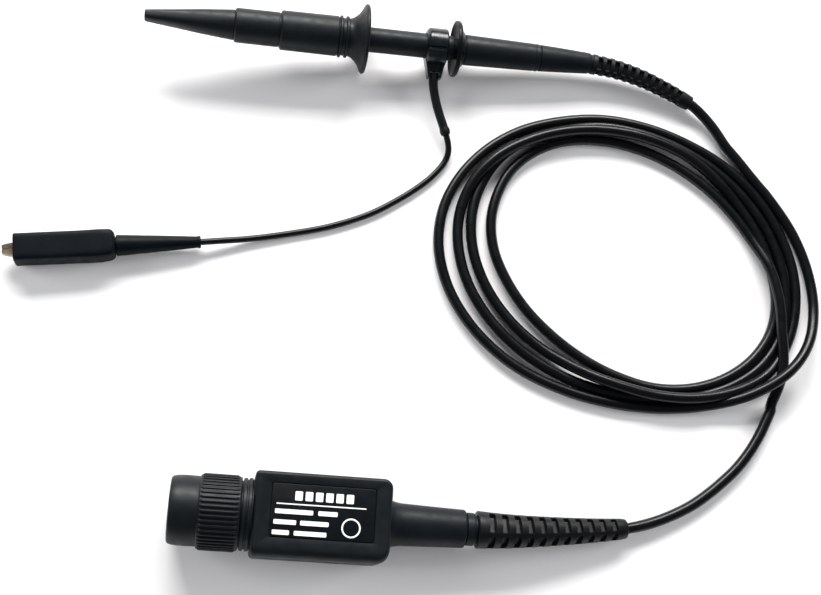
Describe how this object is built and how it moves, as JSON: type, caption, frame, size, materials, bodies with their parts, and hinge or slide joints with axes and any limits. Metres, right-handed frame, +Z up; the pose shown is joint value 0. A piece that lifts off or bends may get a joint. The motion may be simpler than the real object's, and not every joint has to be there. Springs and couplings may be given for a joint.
{
  "type": "oscilloscope probe",
  "caption": "Passive test probe with a retractable hook tip, a ground lead with a spring clip, a coiled cable and a compensation box with a bayonet coaxial plug.",
  "frame": {"origin": "On the surface the part lies on, under the middle of the probe body and the compensation box taken together, without the loose cable and ground lead.", "axes": "+Z is up. The probe's nose and the plug point towards -X. The probe body lies at +Y and the compensation box at -Y, with the coiled cable beside them at +X."},
  "size_m": [0.2284, 0.1568, 0.0198],
  "materials": {
    "satin_black": "satin moulded plastic",
    "soft_black": "soft matte plastic",
    "rubber_black": "matte rubber",
    "jacket_black": "semi-gloss cable jacket",
    "label_black": "matte printed panel",
    "nickel": "nickel plate",
    "gold_plate": "gold plate",
    "spring_steel": "plain spring steel",
    "white_plastic": "smooth white plastic",
    "board_green": "solder mask",
    "resistor_blue": "lacquer",
    "capacitor_ochre": "ceramic glaze"
  },
  "bodies": {
    "probe": {"hook_wire": "nickel", "hook_carrier": "soft_black", "hook_spring": "spring_steel", "probe_tip_insulator": "white_plastic", "probe_tip_pin": "gold_plate", "probe_barrel": "satin_black", "ground_contact_band": "nickel", "finger_guard": "satin_black", "rear_housing": "satin_black", "cable_boot": "soft_black", "probe_strain_relief": "rubber_black", "ground_lead": "jacket_black", "clip_cover": "soft_black", "clip_fixed_jaw": "nickel", "clip_jaw_pin": "spring_steel", "clip_jaw_spring": "spring_steel", "clip_boot": "rubber_black", "probe_cable_run": "jacket_black", "cable_coil": "jacket_black", "box_cable_run": "jacket_black", "box_strain_relief": "rubber_black", "plug_body": "nickel", "plug_contact_sleeve": "nickel", "plug_dielectric": "white_plastic", "plug_centre_pin": "gold_plate", "neck_ring": "satin_black", "case_upper": "satin_black", "case_lower": "satin_black", "label_panel": "label_black", "neck_boot": "soft_black", "neck_collar": "soft_black", "circuit_board": "board_green", "trimmer_body": "white_plastic", "matching_resistor": "resistor_blue", "matching_capacitor": "capacitor_ochre"},
    "hook_sleeve": {"hook_nose": "satin_black", "hook_collar": "satin_black", "hook_grip": "satin_black", "hook_flange": "satin_black"},
    "ground_collar": {"ground_collar": "satin_black", "ground_lead_stem": "rubber_black"},
    "moving_jaw": {"clip_moving_jaw": "nickel"},
    "coupling": {"coupling_grip": "satin_black", "bayonet_ring": "nickel", "wave_washer": "spring_steel"},
    "readout_pin": {"readout_pin": "gold_plate"},
    "trimmer_rotor": {"trimmer_rotor": "gold_plate"}
  },
  "joints": [
    {"name": "hook_sleeve_slide", "type": "slide", "parent": "probe", "child": "hook_sleeve", "axis": [0.9961, -0.0588, -0.0663], "range_m": [0, 0.006], "stiffness_N_per_m": 300, "springref_m": -0.005, "deforming": ["hook_spring"]},
    {"name": "ground_collar_turn", "type": "hinge", "parent": "probe", "child": "ground_collar", "pos_m": [0.00258, 0.0677, 0.00842], "axis": [-0.9961, 0.0588, 0.0663], "range_deg": [0, 40]},
    {"name": "jaw_pivot", "type": "hinge", "parent": "probe", "child": "moving_jaw", "pos_m": [-0.09685, 0.00831, 0.004], "axis": [-0.0331, -0.002, -0.9995], "range_deg": [0, 15], "stiffness_Nm_per_rad": 0.05, "springref_deg": -20.05},
    {"name": "coupling_turn", "type": "hinge", "parent": "probe", "child": "coupling", "pos_m": [-0.06164, -0.06369, 0.01008], "axis": [0.9958, -0.0834, -0.0384], "continuous": true},
    {"name": "readout_pin_slide", "type": "slide", "parent": "probe", "child": "readout_pin", "axis": [0.9958, -0.0834, -0.0384], "range_m": [0, 0.0015], "stiffness_N_per_m": 200, "springref_m": -0.001},
    {"name": "trimmer_turn", "type": "hinge", "parent": "probe", "child": "trimmer_rotor", "pos_m": [-0.02797, -0.06651, 0.00377], "axis": [0.0383, -0.0032, 0.9993], "continuous": true}
  ]
}
